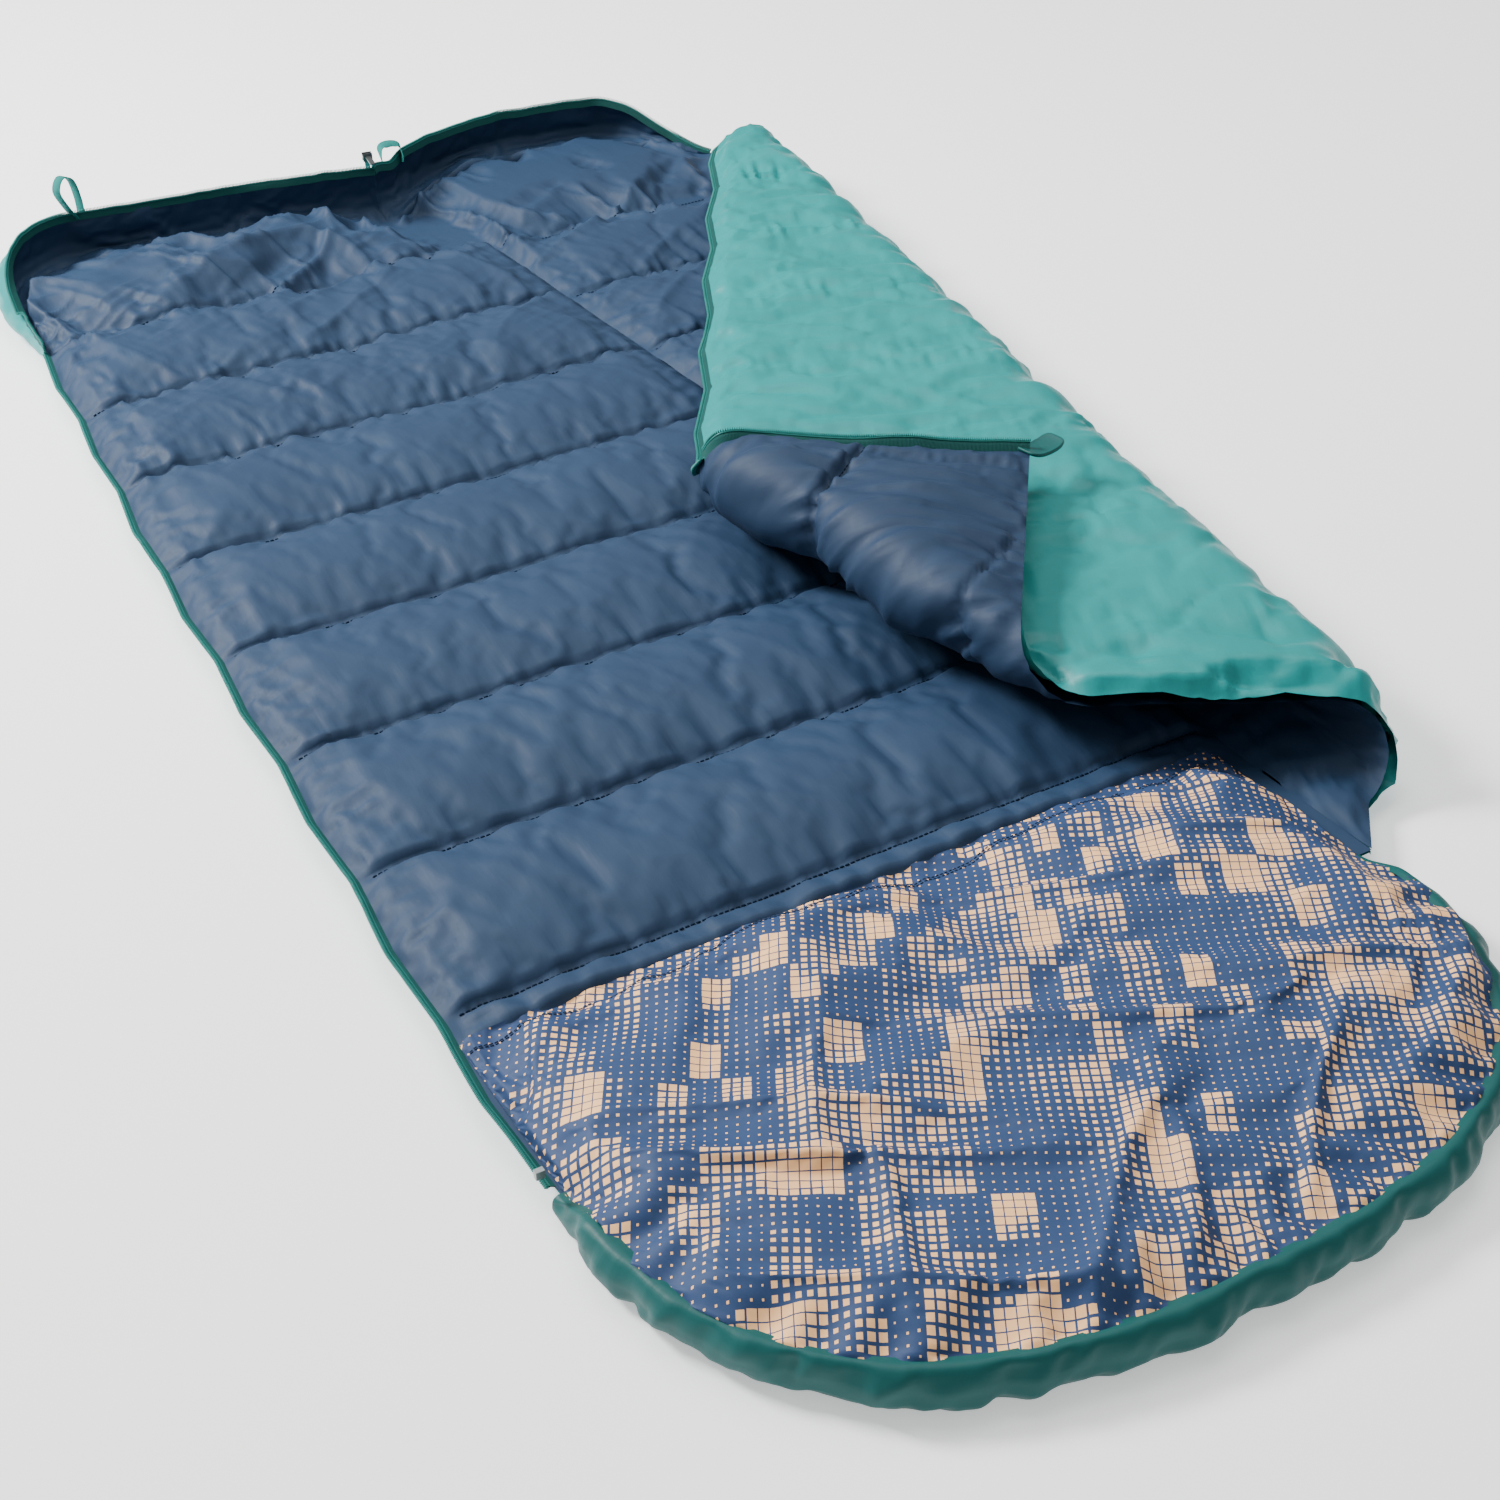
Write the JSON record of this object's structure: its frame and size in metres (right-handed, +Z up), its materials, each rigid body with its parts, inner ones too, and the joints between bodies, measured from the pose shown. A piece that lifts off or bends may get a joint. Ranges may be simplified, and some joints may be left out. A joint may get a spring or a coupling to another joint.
{
  "type": "camp quilt",
  "caption": "Hooded sleeping bag that zips open into a camp quilt: quilted base, cover folded back over itself, printed pillow pocket on the hood, zip, hang loops.",
  "frame": {"origin": "on the underside of the base panel, at the middle of the neck seam", "axes": "+Y runs from the hood to the foot, +X to the side seam, +Z up from the ground"},
  "size_m": [0.9874, 1.9217, 0.143],
  "materials": {
    "shell": "satin",
    "lining": "satin",
    "fill": "matte",
    "print": "matte",
    "tape": "matte",
    "coil": "matte",
    "thread": "matte",
    "metal": "satin"
  },
  "bodies": {
    "quilt_base": {"base_fill": "fill", "base_lining": "lining", "base_shell": "shell", "base_stitch_0": "thread", "base_stitch_1": "thread", "base_stitch_2": "thread", "base_stitch_3": "thread", "base_stitch_4": "thread", "base_stitch_5": "thread", "base_stitch_6": "thread", "base_stitch_7": "thread", "base_zip_coil": "coil", "base_zip_tape": "tape", "cover_foot_zip_coil": "coil", "cover_foot_zip_tape": "tape", "cover_inner_fill": "fill", "cover_inner_lining": "lining", "cover_inner_shell": "shell", "cover_stitch_1": "thread", "cover_stitch_2": "thread", "cover_stitch_3": "thread", "cover_stitch_4": "thread", "cover_stitch_5": "thread", "cover_stitch_6": "thread", "cover_stitch_7": "thread", "main_fold": "shell", "pocket_hem_stitch": "thread", "pocket_mouth": "print", "zip_stop_base": "metal"},
    "folded_cover": {"corner_fold": "lining", "cover_outer_fill": "fill", "cover_outer_lining": "lining", "cover_outer_shell": "shell", "cover_outer_zip_coil": "coil", "cover_outer_zip_tape": "tape"},
    "free_corner": {"corner_stitch": "thread", "cover_corner_fill": "fill", "cover_corner_lining": "lining", "cover_corner_shell": "shell", "cover_corner_zip_coil": "coil", "cover_corner_zip_tape": "tape"},
    "corner_tab": {"corner_tab": "shell"},
    "hood": {"hood_fill": "fill", "hood_lining": "lining", "hood_shell": "shell", "pocket_panel": "print"},
    "zip_slider": {"slider_body": "metal"},
    "pull_outside": {"slider_pull_outside": "metal"},
    "pull_inside": {"slider_pull_inside": "metal"},
    "loop_left": {"hang_loop_left": "tape"},
    "loop_right": {"hang_loop_right": "tape"}
  },
  "joints": [
    {"name": "cover_unfold", "type": "hinge", "parent": "quilt_base", "child": "folded_cover", "pos_m": [0.3604, -0.136, 0.045], "axis": [0.1828, 0.9832, 0], "range_deg": [0, 180], "deforming": ["main_fold"]},
    {"name": "corner_unfold", "type": "hinge", "parent": "folded_cover", "child": "free_corner", "pos_m": [0.1632, 0.5066, 0.096], "axis": [0.0985, -0.9951, 0], "range_deg": [0, 180], "deforming": ["corner_fold"]},
    {"name": "hood_lift", "type": "hinge", "parent": "quilt_base", "child": "hood", "pos_m": [0, -0.1802, 0.0354], "axis": [-1, 0, 0], "range_deg": [0, 90]},
    {"name": "corner_tab_flap", "type": "hinge", "parent": "free_corner", "child": "corner_tab", "pos_m": [0.35253, 0.28757, 0.1185], "axis": [0.1793, -0.9838, 0], "range_deg": [-30, 20], "stiffness_Nm_per_rad": 0.02},
    {"name": "slider_slide", "type": "slide", "parent": "quilt_base", "child": "zip_slider", "axis": [-0.9849, 0.173, 0], "range_m": [0, 0.31]},
    {"name": "pull_outside_swing", "type": "hinge", "parent": "zip_slider", "child": "pull_outside", "pos_m": [0.20216, 1.37892, 0.0877], "axis": [0.9849, -0.173, 0], "range_deg": [0, 170]},
    {"name": "pull_inside_swing", "type": "hinge", "parent": "zip_slider", "child": "pull_inside", "pos_m": [0.20057, 1.36986, 0.0877], "axis": [-0.9849, 0.173, 0], "range_deg": [0, 80]},
    {"name": "loop_left_swing", "type": "hinge", "parent": "quilt_base", "child": "loop_left", "pos_m": [-0.1309, 1.4144, 0.0828], "axis": [0.9962, -0.0872, 0], "range_deg": [-45, 70], "stiffness_Nm_per_rad": 0.02},
    {"name": "loop_right_swing", "type": "hinge", "parent": "quilt_base", "child": "loop_right", "pos_m": [0.2414, 1.3634, 0.0688], "axis": [0.866, 0.5, 0], "range_deg": [-45, 70], "stiffness_Nm_per_rad": 0.02}
  ],
  "couplings": [
    {"joint": "corner_unfold", "follows": "cover_unfold", "ratio": 1}
  ]
}
